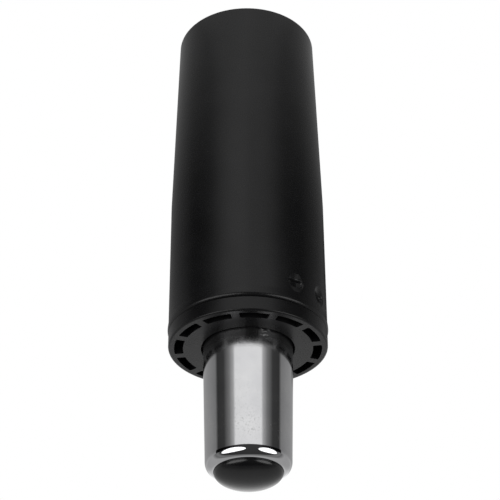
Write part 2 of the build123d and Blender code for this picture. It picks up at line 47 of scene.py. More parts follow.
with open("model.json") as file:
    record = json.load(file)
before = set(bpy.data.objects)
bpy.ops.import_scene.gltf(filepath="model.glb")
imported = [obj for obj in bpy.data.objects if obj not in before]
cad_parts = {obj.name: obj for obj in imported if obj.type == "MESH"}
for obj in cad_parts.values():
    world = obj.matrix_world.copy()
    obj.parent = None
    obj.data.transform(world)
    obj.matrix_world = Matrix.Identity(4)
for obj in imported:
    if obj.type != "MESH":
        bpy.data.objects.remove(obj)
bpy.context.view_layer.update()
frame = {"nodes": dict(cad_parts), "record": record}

MM = 0.001
ARC_STEPS = 8               # straight pieces in one rounded corner
TURN_STEPS = 240            # columns of faces round a turned piece
SHARP_ANGLE = math.radians(32)
EDGE_BREAK = 0.15 * MM      # small rounding where a real edge is broken
FIT_GAP = 0.05 * MM         # between two pieces that fit closely
SLIDE_GAP = 0.06 * MM       # round the rod's foot and the sliding tube
COLLAR_GAP = 0.1 * MM       # between the button's collar and the rolled end
NO_SIZE = 1e-7              # metres, less than any real distance here


# Sizes and looks that a user would change

def length(name, description, millimetres):
    """A size in metres, given in millimetres."""
    return FloatProperty(name=name, description=description, default=millimetres * MM, unit="LENGTH",
                         subtype="DISTANCE", precision=5)


def angle(name, description, degrees):
    """An angle in radians, given in degrees."""
    return FloatProperty(name=name, description=description, default=math.radians(degrees), unit="ROTATION",
                         subtype="ANGLE")


def linear(code):
    """Turns an sRGB hex colour to linear RGBA."""
    levels = [int(code[place:place + 2], 16) / 255 for place in (1, 3, 5)]
    light = [level / 12.92 if level <= 0.04045 else ((level + 0.055) / 1.055) ** 2.4 for level in levels]
    return light + [1.0]


def colour(name, description, code):
    """A colour, given as an sRGB hex code."""
    return FloatVectorProperty(name=name, description=description, default=linear(code), size=4, min=0, max=1,
                               subtype="COLOR")


class ColumnSizes(PropertyGroup):
    """Sizes of the painted outer tube and its punch marks"""

    radius: length("Radius", "Outside of the straight shank", 25.0)
    wall: length("Wall", "Thickness of the tube", 1.9)
    taper_length: length("Taper Length", "How far the base taper reaches up", 67.5)
    taper_angle: angle("Taper Angle", "Each side of the standard taper", 1.4378)
    foot_rounding: length("Foot Rounding", "Rounding of the bottom rim", 0.4)
    rim_rounding: length("Rim Rounding", "Rounding of the top rim", 1.3)
    rim_flare: length("Rim Flare", "How far the rim stands out", 0.23)
    flare_length: length("Flare Length", "Height over which the rim widens", 2.7)
    stake_drop: length("Stake Drop", "From the rim down to the punch marks", 7.4)
    stake_angle: angle("Stake Angle", "First punch mark, from +X", 27.5)
    stake_spread: angle("Stake Spread", "Between two marks of a pair", 26.0)
    dish_height: length("Dish Height", "From the mark's middle up to its edge", 3.4)
    dish_width: length("Dish Width", "From the mark's middle round to its edge", 2.9)
    dish_depth: length("Dish Depth", "Depth of the shallow part", 0.7)
    dish_floor: length("Dish Floor", "Radius over which the dish is deepest", 1.2)
    pit_length: length("Pit Length", "Half the pit's length, round the column", 2.95)
    pit_height: length("Pit Height", "Half the pit's height", 1.4)
    pit_depth: length("Pit Depth", "Depth at the nose", 1.5)
    nose_radius: length("Nose Radius", "Flat end of the punch", 0.8)
    bulge_radius: length("Bulge Radius", "Foot of the bulge inside", 2.6)
    bulge_nose: length("Bulge Nose", "Flat top of the bulge inside", 1.2)
    bulge_depth: length("Bulge Depth", "How far the bulge stands into the bore", 1.4)


class BushSizes(PropertyGroup):
    """Sizes of the moulded bush and its slots"""

    core_depth: length("Core Depth", "From the column's bore in to the sleeve", 2.8)
    plug_gap: length("Plug Gap", "Between the bush's lands and the bore", 0.05)
    seam: length("Seam", "Shadow gap between the rim and the flange", 0.1)
    seat_width: length("Seat Width", "Strip of the flange that rests on the rim", 0.65)
    edge_rounding: length("Edge Rounding", "Top edge of the flange", 0.6)
    under_rounding: length("Under Rounding", "Lower edge of the flange", 0.2)
    mouth_width: length("Mouth Width", "Chamfer round the tube", 0.64)
    mouth_depth: length("Mouth Depth", "Height of that chamfer", 1.1)
    land_length: length("Land Length", "Height of each land", 7.0)
    land_inset: length("Land Inset", "Lowest land above the taper", 1.0)
    ring_height: length("Ring Height", "Thickness of the thrust ring", 2.0)
    stake_room: length("Stake Room", "Between the land and the bulges", 0.1)
    lead: length("Lead", "Chamfers at the sleeve's end", 0.8)
    slot_count: IntProperty(name="Slot Count", description="Slots in the flange", default=12, min=3)
    slot_turn: angle("Slot Turn", "First slot, from +X", -5.2)
    web_width: length("Web Width", "Between two slots", 2.5)
    slot_corner: length("Slot Corner", "Rounding of a slot's corners", 0.3)


class TubeSizes(PropertyGroup):
    """Sizes of the chromed pressure tube"""

    wall: length("Wall", "Thickness of the tube", 2.5)
    taper_length: length("Taper Length", "Height of the seat taper", 36.1)
    shoulder: length("Shoulder", "Rounding over the rolled end, inwards", 2.4)
    shoulder_drop: length("Shoulder Drop", "Rounding over the rolled end, downwards", 3.3)
    shoulder_ease: FloatProperty(name="Shoulder Ease", description="How gently that starts", default=0.62)
    shoulder_steps: IntProperty(name="Shoulder Steps", description="Straight pieces in it", default=24, min=4)
    lip_reach: length("Lip Reach", "How far the rolled end stands in", 0.95)
    lip_thickness: length("Lip Thickness", "Thickness of the rolled end", 1.7)
    crimp_reach: length("Crimp Reach", "How far the bottom edge is rolled in", 3.5)
    crimp_thickness: length("Crimp Thickness", "Thickness of the bottom edge", 1.8)
    crimp_rounding: length("Crimp Rounding", "Rounding of the bottom edge", 2.0)


class ButtonSizes(PropertyGroup):
    """Sizes of the domed release button"""

    gap: length("Gap", "Play inside the lip", 0.07)
    dome: length("Dome", "Height of the dome over the lip", 4.4)
    wall: length("Wall", "Thickness of the cap", 1.7)
    flange_thickness: length("Flange Thickness", "Collar under the lip", 1.3)
    boss_radius: length("Boss Radius", "Boss that holds the pin", 3.4)
    pin_radius: length("Pin Radius", "Hole for the pin", 2.02)
    pin_grip: length("Pin Grip", "Depth of that hole", 5.0)


class FootSizes(PropertyGroup):
    """Sizes of the plate, rod end, washer and clip underneath, and of the bearing's balls"""

    plate_wall: length("Plate Wall", "Thickness of the plate's skirt", 2.0)
    plate_recess: length("Plate Recess", "From the rim up to the plate", 6.0)
    plate_bend: length("Plate Bend", "Rounding where the skirt turns", 1.6)
    rod_radius: length("Rod Radius", "The rod's shank", 5.0)
    rod_foot: length("Rod Foot", "The rod's foot", 4.0)
    rod_head: length("Rod Head", "The rod's stepped head", 3.0)
    rod_chamfer: length("Rod Chamfer", "Both ends of the rod", 0.5)
    centre_radius: length("Centre Radius", "Centre drilling in the rod's end", 1.3)
    centre_depth: length("Centre Depth", "Depth of that drilling", 1.5)
    groove_depth: length("Groove Depth", "Clip groove in the foot", 0.8)
    relief_radius: length("Relief Radius", "Open part inside the clip", 5.2)
    clip_mouth: length("Clip Mouth", "Gap in the clip", 5.6)
    lug_width: length("Lug Width", "Lugs that reach the groove", 2.6)
    lug_count: IntProperty(name="Lug Count", description="Lugs inside the clip", default=3, min=1)
    ball_radius: length("Ball Radius", "Balls of the bearing", 2.38)
    ball_pitch: length("Ball Pitch", "Radius of the circle of balls", 8.6)
    ball_count: IntProperty(name="Ball Count", description="Balls in the bearing", default=9, min=3)


class FinishColours(PropertyGroup):
    """Colours of the pieces that show, most of them varying between two close shades"""

    paint: colour("Paint", "Powder coat of the column", "#0b0b0c")
    paint_light: colour("Light Paint", "Its lighter clouds", "#101011")
    bush: colour("Bush", "Moulded bush", "#0a0a0b")
    bush_light: colour("Light Bush", "Its lighter flow marks", "#0f0f10")
    button: colour("Button", "Glossy button", "#0a0a0b")
    button_light: colour("Light Button", "Its lighter waves", "#0e0e0f")
    chrome: colour("Chrome", "Plate of the tube", "#d3d3d5")
    chrome_light: colour("Light Chrome", "Its lighter haze", "#dcdcdd")
    # Darker colour near the bush: partly grease, partly a painted reflection of the dark bush in the chrome.
    grease_and_painted_reflection: colour("Grease and Painted Reflection", "Grease where the tube leaves the bush", "#7f7f80")
    scuff: colour("Scuff", "Pale scuff in that film", "#a4a4a4")


class StageLook(PropertyGroup):
    """Where the camera stands and how bright the studio is"""

    camera_distance: length("Camera Distance", "From the axis, along the floor", 413.3)
    camera_side: length("Camera Side", "Off the middle, towards +X", -0.81)
    camera_height: length("Camera Height", "Above the floor", 343.53)
    camera_pitch: angle("Camera Pitch", "How far the camera looks down", 32.215)
    camera_roll: angle("Camera Roll", "The picture is taken upside down", 179.64)
    lens: FloatProperty(name="Lens", description="Focal length in millimetres", default=108.19)
    world_strength: FloatProperty(name="World", description="Soft light from all sides", default=0.5)
    right_power: FloatProperty(name="Right Lamp", description="Watts of the right softbox", default=1.458)
    left_power: FloatProperty(name="Left Lamp", description="Watts of the left softbox", default=1.944)
    top_power: FloatProperty(name="Top Lamp", description="Watts of the lamp above", default=2.0)


# Shapes

def rounded(corners, steps=ARC_STEPS):
    """Points of a closed outline whose corners are (u, v) or (u, v, rounding)."""
    points = []
    for index, corner in enumerate(corners):
        here = Vector(corner[:2])
        if len(corner) == 2:
            points.append(here)
            continue
        before = (Vector(corners[index - 1][:2]) - here).normalized()
        after = (Vector(corners[(index + 1) % len(corners)][:2]) - here).normalized()
        half = before.angle(after) / 2
        centre = here + (before + after).normalized() * (corner[2] / math.sin(half))
        start = here + before * (corner[2] / math.tan(half)) - centre
        sweep = start.angle_signed(here + after * (corner[2] / math.tan(half)) - centre)
        for step in range(steps + 1):
            turned = start.copy()
            turned.rotate(Matrix.Rotation(-sweep * step / steps, 2))
            points.append(centre + turned)
    return points


def even_angles(count=TURN_STEPS):
    """Angles evenly round the axis."""
    return [2 * math.pi * step / count for step in range(count)]


def apart(first, second):
    """Angle between two directions, the short way round."""
    return abs((first - second + math.pi) % (2 * math.pi) - math.pi)


def polar(radius, turn):
    """Point at a radius and an angle."""
    return radius * math.cos(turn), radius * math.sin(turn)


def eased(share):
    """Smooth step between 0 and 1."""
    share = max(0.0, min(1.0, share))
    return share * share * (3 - 2 * share)


def new_object(name, data):
    """Links an object for a mesh, a lamp or a camera."""
    made = bpy.data.objects.new(name, data)
    bpy.context.scene.collection.objects.link(made)
    return made


def mesh_of(name, shape):
    """Writes a bmesh to a new mesh, its faces pointing outwards."""
    bmesh.ops.recalc_face_normals(shape, faces=shape.faces)
    mesh = bpy.data.meshes.new(name)
    shape.to_mesh(mesh)
    shape.free()
    return mesh


def turned(name, outline, angles=None, pressed=None):
    """Turns a closed outline of (radius, height) about the axis.

    Points on the axis become one vertex. pressed gives a new radius from a point's radius, height and angle.
    """
    shape = bmesh.new()
    angles = angles or even_angles()
    rows = []
    for radius, height in outline:
        if radius < NO_SIZE:
            rows.append([shape.verts.new((0, 0, height))] * len(angles))
            continue
        row = []
        for turn in angles:
            reach = pressed(radius, height, turn) if pressed else radius
            row.append(shape.verts.new((*polar(reach, turn), height)))
        rows.append(row)
    for index, row in enumerate(rows):
        above = rows[(index + 1) % len(rows)]
        for step in range(len(angles)):
            onward = (step + 1) % len(angles)
            corners = [row[step], row[onward], above[onward], above[step]]
            corners = [vert for place, vert in enumerate(corners) if vert not in corners[:place]]
            if len(corners) > 2:
                shape.faces.new(corners)
    return new_object(name, mesh_of(name, shape))


def raised(name, outline, low, high):
    """Raises a closed plan outline between two heights."""
    shape = bmesh.new()
    add_block(shape, outline, low, high)
    return new_object(name, mesh_of(name, shape))


def add_block(shape, outline, low, high):
    """Adds a closed block with a plan outline to a bmesh."""
    bottom = [shape.verts.new((x, y, low)) for x, y in outline]
    top = [shape.verts.new((x, y, high)) for x, y in outline]
    shape.faces.new(bottom)
    shape.faces.new(top)
    for index in range(len(outline)):
        onward = (index + 1) % len(outline)
        shape.faces.new((bottom[index], bottom[onward], top[onward], top[index]))


def bevel_edges(target, chosen, width, segments=3):
    """Rounds the edges that a test picks."""
    shape = bmesh.new()
    shape.from_mesh(target.data)
    edges = [edge for edge in shape.edges if chosen(edge)]
    bmesh.ops.bevel(shape, geom=edges, offset=width, segments=segments, profile=0.5, affect="EDGES",
                    clamp_overlap=True)
    shape.to_mesh(target.data)
    shape.free()


def settle(target):
    """Replaces an object's mesh by what its modifiers make of it, and drops the modifiers."""
    graph = bpy.context.evaluated_depsgraph_get()
    mesh = bpy.data.meshes.new_from_object(target.evaluated_get(graph), depsgraph=graph)
    old = target.data
    target.modifiers.clear()
    target.data = mesh
    mesh.name = target.name
    bpy.data.meshes.remove(old)


def smooth(target):
    """Smooth shading with crisp edges, flats kept flat beside their roundings."""
    target.data.shade_smooth()
    target.data.set_sharp_from_angle(angle=SHARP_ANGLE)
    weighted = target.modifiers.new("weighted", "WEIGHTED_NORMAL")
    weighted.keep_sharp = True
    settle(target)


def dress(target, material):
    """Gives a piece its one material."""
    target.data.materials.clear()
    target.data.materials.append(material)


def stand_in(piece, body, slot, node):
    """Smooths and dresses a finished piece, and makes it ride on a body in place of its CAD node."""
    smooth(piece)
    dress(piece, FINISHES[slot]())
    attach(piece, body)
    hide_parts(node)


def radius_of(node):
    """Largest radius of a CAD node."""
    low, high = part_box(node)
    return (high.x - low.x) / 2


def heights_of(node):
    """Lowest and highest point of a CAD node."""
    low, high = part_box(node)
    return low.z, high.z


# Materials

NOISE_RANGE = 0.3, 0.7      # nearly all of a noise pattern lies between these
BUSH_TOP = heights_of("guide_bush")[1]
TUBE_TOP = heights_of("pressure_tube")[1]
# The band where the tube leaves the bush: grease, darkened further as a painted reflection of the dark bush.
GREASE_AND_PAINTED_REFLECTION_START = BUSH_TOP - 7.0 * MM, BUSH_TOP - 2.0 * MM   # the tube is clean below, with neither grease nor painted reflection
GREASE_AND_PAINTED_REFLECTION_END = BUSH_TOP + 3.0 * MM, BUSH_TOP + 6.6 * MM
SMEAR_END = BUSH_TOP + 3.0 * MM, BUSH_TOP + 9.4 * MM    # the grease is thinly smeared up to here
GREASE_AND_PAINTED_REFLECTION_RAGGED = 1.5 * MM                                  # how far its edge wanders
SMEAR_ROUGHNESS = 0.22
SPECKS_START = BUSH_TOP + 7.0 * MM, BUSH_TOP + 20.0 * MM
SPECKS_END = TUBE_TOP - 8.0 * MM, TUBE_TOP - 3.0 * MM
SPECKS_CUT = 0.54, 0.65                                 # the part of the noise that makes specks
SPECKS_ROUGHNESS = 0.22
SCUFF_AT = (-5.2 * MM, -13.0 * MM, 121.0 * MM)
SCUFF_REACH = 0.9 * MM, 2.3 * MM
SCUFF_WIDTH = 0.006, 0.035                              # on both sides of the noise's middle


def add(tree, kind, inputs=(), **settings):
    """Adds a node with its settings and inputs.

    Inputs come in their order, or by name or number. A socket is linked, and so is a node's first output.
    """
    node = tree.nodes.new(kind)
    for name, value in settings.items():
        setattr(node, name, value)
    for name, value in inputs.items() if isinstance(inputs, dict) else enumerate(inputs):
        if isinstance(value, bpy.types.Node):
            value = value.outputs[0]
        if isinstance(value, bpy.types.NodeSocket):
            tree.links.new(value, node.inputs[name])
        else:
            node.inputs[name].default_value = value
    return node


def new_material(name):
    """An empty material, its tree, and the piece's own coordinates."""
    material = bpy.data.materials.get(name) or bpy.data.materials.new(name)
    material.use_nodes = True
    tree = material.node_tree
    tree.nodes.clear()
    return material, tree, add(tree, "ShaderNodeTexCoord").outputs["Object"]


def surfaced(material, inputs):
    """Ends a material with a Principled shader."""
    shader = add(material.node_tree, "ShaderNodeBsdfPrincipled", inputs)
    add(material.node_tree, "ShaderNodeOutputMaterial", {"Surface": shader})
    return material


def pattern(tree, place, size, stretch=(1, 1, 1), detail=2.0):
    """Noise whose features are about size across, in metres, stretched by factors."""
    scale = [1 / (size * factor) for factor in stretch]
    scaled = add(tree, "ShaderNodeMapping", {"Vector": place, "Scale": scale})
    noise = add(tree, "ShaderNodeTexNoise", {"Vector": scaled, "Scale": 1.0, "Detail": detail})
    return noise.outputs["Fac"]


def clouded(tree, noise, first, second):
    """Varies between two linear colours by a noise pattern."""
    share = add(tree, "ShaderNodeMapRange", (noise, *NOISE_RANGE))
    return add(tree, "ShaderNodeMix", {"Factor": share, 6: first, 7: second}, data_type="RGBA").outputs[2]


def all_of(tree, first, *others):
    """How far several shares hold together."""
    for share in others:
        first = add(tree, "ShaderNodeMath", (first, share), operation="MULTIPLY")
    return first


def relief(tree, *layers):
    """Normal of a surface with bumps, from (value, depth in metres, strength) layers."""
    normal = None
    for value, depth, strength in layers:
        inputs = {"Height": value, "Distance": depth, "Strength": strength}
        if normal:
            inputs["Normal"] = normal
        normal = add(tree, "ShaderNodeBump", inputs)
    return normal


def powder_coated_steel():
    """Polyester powder baked on steel: satin black, its skin slightly pebbled like orange peel."""
    material, tree, place = new_material("powder_coated_steel")
    colours = bpy.context.scene.lift_colours
    peel = pattern(tree, place, 1.3 * MM, detail=1.0)
    grain = pattern(tree, place, 0.22 * MM)
    cloud = pattern(tree, place, 9 * MM, detail=3.0)
    return surfaced(material, {
        "Base Color": clouded(tree, cloud, colours.paint, colours.paint_light),
        "Roughness": add(tree, "ShaderNodeMapRange", (grain, *NOISE_RANGE, 0.25, 0.31)),
        "IOR": 1.4,
        "Normal": relief(tree, (peel, 0.03 * MM, 0.25), (grain, 0.006 * MM, 0.25))})


def moulded_acetal():
    """Acetal moulded in a spark-eroded tool: satin black with a fine, even grain."""
    material, tree, place = new_material("moulded_acetal")
    colours = bpy.context.scene.lift_colours
    grain = pattern(tree, place, 0.18 * MM)     # coarser than real, so that it shows
    flow = pattern(tree, place, 5 * MM, detail=3.0)
    return surfaced(material, {
        "Base Color": clouded(tree, flow, colours.bush, colours.bush_light),
        "Roughness": add(tree, "ShaderNodeMapRange", (flow, *NOISE_RANGE, 0.24, 0.32)),
        "IOR": 1.38,
        "Normal": relief(tree, (grain, 0.008 * MM, 0.3), (flow, 0.05 * MM, 0.2))})


def polished_chrome():
    """Chrome plate over ground steel: mirror bright, with faint grinding lines round the tube.

    A band of dull grease with a pale scuff lies where the tube leaves the bush, and dull specks above it.
    The band's darker colour is partly grease and partly a painted reflection of the dark bush.
    """
    material, tree, place = new_material("polished_chrome")
    colours = bpy.context.scene.lift_colours
    height = add(tree, "ShaderNodeSeparateXYZ", (place,)).outputs["Z"]
    haze = pattern(tree, place, 7 * MM, detail=3.0)
    edge = pattern(tree, place, 2.2 * MM, detail=4.0)
    ragged = add(tree, "ShaderNodeMath", (edge, GREASE_AND_PAINTED_REFLECTION_RAGGED, height), operation="MULTIPLY_ADD")
    wiped = add(tree, "ShaderNodeMapRange", (ragged, *GREASE_AND_PAINTED_REFLECTION_START))
    # Share of the band near the bush: grease, and a painted reflection of the dark bush.
    grease_and_painted_reflection = all_of(tree, add(tree, "ShaderNodeMapRange", (ragged, *GREASE_AND_PAINTED_REFLECTION_END, 1, 0)), wiped)
    smear = all_of(tree, add(tree, "ShaderNodeMapRange", (ragged, *SMEAR_END, 1, 0)), wiped)
    specks = handling_specks(tree, place, height, haze)
    scuff = pale_scuff(tree, place)

    plate = clouded(tree, haze, colours.chrome, colours.chrome_light)
    # The band near the bush darkens the plate, partly as grease and partly as a painted reflection of the
    # dark bush; then the pale scuff.
    for share, shade in ((grease_and_painted_reflection, colours.grease_and_painted_reflection), (scuff, colours.scuff)):
        plate = add(tree, "ShaderNodeMix", {"Factor": share, 6: plate, 7: shade}, data_type="RGBA").outputs[2]
    lines = pattern(tree, place, 0.35 * MM, stretch=(12, 12, 1), detail=3.0)    # coarser than real, to show
    dull = add(tree, "ShaderNodeMapRange", (lines, *NOISE_RANGE, 0.05, 0.075))
    for share, rise in ((smear, SMEAR_ROUGHNESS), (specks, SPECKS_ROUGHNESS)):
        dull = add(tree, "ShaderNodeMath", (share, rise, dull), operation="MULTIPLY_ADD")
    streaks = pattern(tree, place, 0.9 * MM, stretch=(1, 1, 8))
    return surfaced(material, {
        "Metallic": add(tree, "ShaderNodeMath", (1.0, scuff), operation="SUBTRACT"),
        "Base Color": plate,
        "Roughness": dull,
        "Normal": relief(tree, (all_of(tree, streaks, grease_and_painted_reflection), 0.1 * MM, 0.7))})


def handling_specks(tree, place, height, haze):
    """Dull specks between the film and the rolled end, denser in the hazy parts."""
    grain = pattern(tree, place, 0.45 * MM, detail=3.0)
    return all_of(tree, add(tree, "ShaderNodeMapRange", (height, *SPECKS_START)),
                  add(tree, "ShaderNodeMapRange", (height, *SPECKS_END, 1, 0)),
                  add(tree, "ShaderNodeMapRange", (haze, *NOISE_RANGE, 0.35, 1)),
                  add(tree, "ShaderNodeMapRange", (grain, *SPECKS_CUT)))


def pale_scuff(tree, place):
    """Thin crossing scratches round one spot, drawn where a noise pattern is at its middle."""
    scratch = pattern(tree, place, 0.9 * MM, stretch=(3, 3, 0.8), detail=1.0)
    centred = add(tree, "ShaderNodeMath", (scratch, 0.5), operation="SUBTRACT")
    away = add(tree, "ShaderNodeMath", (centred,), operation="ABSOLUTE")
    far = add(tree, "ShaderNodeVectorMath", (place, SCUFF_AT), operation="DISTANCE").outputs["Value"]
    return all_of(tree, add(tree, "ShaderNodeMapRange", (away, *SCUFF_WIDTH, 1, 0)),
                  add(tree, "ShaderNodeMapRange", (far, *SCUFF_REACH, 1, 0)))


def gloss_abs():
    """ABS moulded in a polished tool: deep black, glossy, very slightly wavy."""
    material, tree, place = new_material("gloss_abs")
    colours = bpy.context.scene.lift_colours
    wave = pattern(tree, place, 4 * MM, detail=1.0)
    dust = pattern(tree, place, 0.3 * MM, detail=3.0)
    return surfaced(material, {
        "Base Color": clouded(tree, wave, colours.button, colours.button_light),
        "Roughness": add(tree, "ShaderNodeMapRange", (dust, *NOISE_RANGE, 0.18, 0.24)),
        "Normal": relief(tree, (wave, 0.02 * MM, 0.3))})


def bright_zinc():
    """Zinc plate on pressed steel: pale blue-grey with a soft, cloudy shine."""
    material, tree, place = new_material("bright_zinc")
    cloud = pattern(tree, place, 2.5 * MM, detail=4.0)
    grain = pattern(tree, place, 0.15 * MM)
    return surfaced(material, {
        "Metallic": 1.0,
        "Base Color": clouded(tree, cloud, linear("#b9bcc0"), linear("#cfd2d4")),
        "Roughness": add(tree, "ShaderNodeMapRange", (cloud, *NOISE_RANGE, 0.25, 0.42)),
        "Normal": relief(tree, (grain, 0.006 * MM, 0.3))})


def worked_metal(name, size, shades, roughness, depth, strength=0.4, stretch=60, detail=1.0):
    """Bare metal with fine marks round the part, which vary its colour, its roughness and its relief."""
    material, tree, place = new_material(name)
    marks = pattern(tree, place, size, stretch=(stretch, stretch, 1), detail=detail)
    return surfaced(material, {
        "Metallic": 1.0,
        "Base Color": clouded(tree, marks, *(linear(shade) for shade in shades)),
        "Roughness": add(tree, "ShaderNodeMapRange", (marks, *NOISE_RANGE, *roughness)),
        "Normal": relief(tree, (marks, depth, strength))})


def ground_steel():
    """Hardened steel, centreless ground: fine lines round the part, coarser than real, so that they show."""
    return worked_metal("ground_steel", 0.2 * MM, ("#a9abad", "#c6c7c9"), (0.16, 0.28), depth=0.004 * MM,
                        strength=0.35, stretch=30, detail=3.0)


def turned_aluminium():
    """Aluminium from the lathe: pale, with fine tool marks round the part."""
    return worked_metal("turned_aluminium", 0.25 * MM, ("#c8c9cb", "#dddedf"), (0.22, 0.34), depth=0.01 * MM)


def turned_brass():
    """Brass from the lathe: warm yellow, with fine tool marks round the part."""
    return worked_metal("turned_brass", 0.2 * MM, ("#c5a059", "#d8b670"), (0.2, 0.32), depth=0.008 * MM)


def nitrile_rubber():
    """Nitrile rubber, moulded: matte black with a soft bloom."""
    material, tree, place = new_material("nitrile_rubber")
    bloom = pattern(tree, place, 1.5 * MM, detail=4.0)
    grain = pattern(tree, place, 0.12 * MM)
    return surfaced(material, {
        "Base Color": clouded(tree, bloom, linear("#161616"), linear("#222222")),
        "Roughness": add(tree, "ShaderNodeMapRange", (bloom, *NOISE_RANGE, 0.6, 0.75)),
        "Normal": relief(tree, (grain, 0.01 * MM, 0.4))})


def natural_nylon():
    """Unfilled nylon, moulded: milky cream, slightly see-through at its edges."""
    material, tree, place = new_material("natural_nylon")
    cloud = pattern(tree, place, 4 * MM, detail=3.0)
    return surfaced(material, {
        "Base Color": clouded(tree, cloud, linear("#d9d4c4"), linear("#e6e1d3")),
        "Roughness": add(tree, "ShaderNodeMapRange", (cloud, *NOISE_RANGE, 0.35, 0.5)),
        "Subsurface Weight": 0.15,
        "Subsurface Scale": 1.0 * MM,
        "Normal": relief(tree, (cloud, 0.02 * MM, 0.2))})


FINISHES = {
    "column_paint": powder_coated_steel,
    "bush_plastic": moulded_acetal,
    "tube_chrome": polished_chrome,
    "button_plastic": gloss_abs,
    "zinc_steel": bright_zinc,
    "ground_steel": ground_steel,
    "turned_aluminium": turned_aluminium,
    "pin_brass": turned_brass,
    "seal_rubber": nitrile_rubber,
    "cage_plastic": natural_nylon,
}


# Operators, one for each piece or group of like pieces

MARK_MARGIN = 1.1           # fine faces reach this many times as far as a punch mark
MARK_ROWS = 0.16 * MM       # height of those faces
MARK_COLUMNS = math.radians(0.36)
FLARE_STEPS = 10


class LIFT_OT_column(Operator):
    """Build the painted column with its taper, flared rim and punch marks"""

    bl_idname = "gas_lift.column"
    bl_label = "Column"

    def execute(self, context):
        sizes = context.scene.lift_column
        low, high = heights_of("column_tube")
        bore = sizes.radius - sizes.wall
        narrowing = sizes.taper_length * math.tan(sizes.taper_angle)
        rim_radius = sizes.radius + sizes.rim_flare
        shoulder = high - sizes.rim_rounding
        flare_base = shoulder - sizes.flare_length
        stake_height = high - sizes.stake_drop
        pairs = (sizes.stake_angle, sizes.stake_angle + math.pi)
        stakes = [first + turn for first in pairs for turn in (0, sizes.stake_spread)]
        reach = sizes.dish_height * MARK_MARGIN
        levels = [stake_height - reach + MARK_ROWS * step for step in range(int(2 * reach / MARK_ROWS) + 2)]
        shares = [step / FLARE_STEPS for step in range(1, FLARE_STEPS)]
        flare = [(sizes.radius + sizes.rim_flare * eased(share), flare_base + sizes.flare_length * share)
                 for share in shares]
        outer = [level for level in levels if level < flare_base - MARK_ROWS]
        outline = rounded(
            [(bore, sizes.taper_length), (bore - narrowing, low, EDGE_BREAK),
             (sizes.radius - narrowing, low, sizes.foot_rounding), (sizes.radius, sizes.taper_length)]
            + [(sizes.radius, level) for level in outer]
            + [(sizes.radius, flare_base)] + flare
            + [(rim_radius, shoulder), (rim_radius, high, sizes.rim_rounding), (bore, high, EDGE_BREAK)]
            + [(bore, level) for level in reversed(levels)])

        def pressed(radius, height, turn):
            """Presses the punch marks into the outside, and raises their bulges in the bore."""
            for stake in stakes:
                around, along = apart(turn, stake) * sizes.radius, abs(height - stake_height)
                if around > reach or along > reach:
                    continue
                if radius > sizes.radius - sizes.wall / 2:
                    share = math.hypot(around / sizes.dish_width, along / sizes.dish_height)
                    dish = max(0.0, min(1.0, (1 - share) / (1 - sizes.dish_floor / sizes.dish_height)))
                    past_end = max(0.0, around - sizes.pit_length + sizes.pit_height)
                    from_edge = sizes.pit_height - math.hypot(past_end, along)
                    pit = eased(from_edge / (sizes.pit_height - sizes.nose_radius))
                    return radius - sizes.dish_depth * dish - (sizes.pit_depth - sizes.dish_depth) * pit
                from_edge = sizes.bulge_radius - math.hypot(around, along)
                return radius - sizes.bulge_depth * eased(from_edge / (sizes.bulge_radius - sizes.bulge_nose))
            return radius

        column = turned("painted_column", outline, stake_angles(stakes, reach / sizes.radius), pressed)
        stand_in(column, "column", "column_paint", "column_tube")
        return {"FINISHED"}


def stake_angles(stakes, half_width):
    """Angles round the column, closer together over each punch mark."""
    fine_count = math.ceil(half_width / MARK_COLUMNS)
    angles = [(stake + MARK_COLUMNS * step) % (2 * math.pi)
              for stake in stakes for step in range(-fine_count, fine_count + 1)]
    for turn in even_angles():
        if min(apart(turn, stake) for stake in stakes) > MARK_COLUMNS * (fine_count + 1):
            angles.append(turn)
    return sorted(angles)


